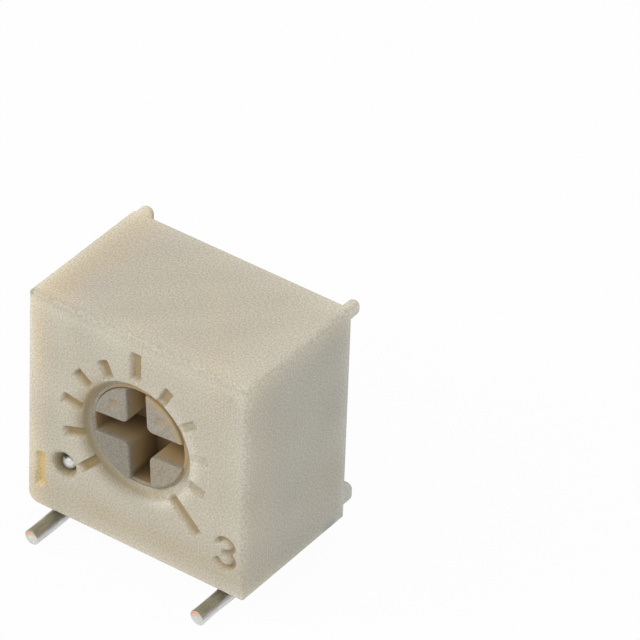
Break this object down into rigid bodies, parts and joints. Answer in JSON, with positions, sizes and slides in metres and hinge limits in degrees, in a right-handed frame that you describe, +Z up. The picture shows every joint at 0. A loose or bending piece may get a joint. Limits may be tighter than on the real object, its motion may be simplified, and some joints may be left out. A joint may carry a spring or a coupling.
{
  "type": "trimmer potentiometer",
  "caption": "Square trimmer potentiometer: moulded case with a cross-slotted rotor in a dial of engraved marks, wire leads formed for surface mounting, rear closed with blue potting.",
  "frame": {"origin": "on the board surface, under the middle of the span of the leads", "axes": "-Y out of the front face along the rotor axis, +Z up from the board to the flat top, +X to the right seen from the front"},
  "size_m": [0.0066, 0.0064, 0.007],
  "materials": {
    "case_plastic": "fine matt moulded cream plastic",
    "rotor_plastic": "matt moulded beige plastic",
    "seal_rubber": "matt black rubber",
    "spring_metal": "bright sheet metal",
    "ceramic": "white fired ceramic",
    "resistive_ink": "dark fired ink",
    "conductor_ink": "fired silver ink",
    "tinned_wire": "dull tin plating with drawing marks",
    "solder": "bright solder",
    "blue_epoxy": "satin blue potting"
  },
  "bodies": {
    "case": {"housing": "case_plastic", "substrate": "ceramic", "resistive_track": "resistive_ink", "collector_pad": "conductor_ink", "end_pad_1": "conductor_ink", "end_pad_3": "conductor_ink", "lead_1": "tinned_wire", "lead_2": "tinned_wire", "lead_3": "tinned_wire", "solder_1": "solder", "solder_2": "solder", "solder_3": "solder", "epoxy_fill": "blue_epoxy"},
    "adjuster": {"rotor": "rotor_plastic", "rotor_seal": "seal_rubber", "wiper": "spring_metal"}
  },
  "joints": [
    {"name": "rotor_turn", "type": "hinge", "parent": "case", "child": "adjuster", "pos_m": [0, -0.00231, 0.00401], "axis": [0, 1, 0], "range_deg": [-131, 139]}
  ]
}
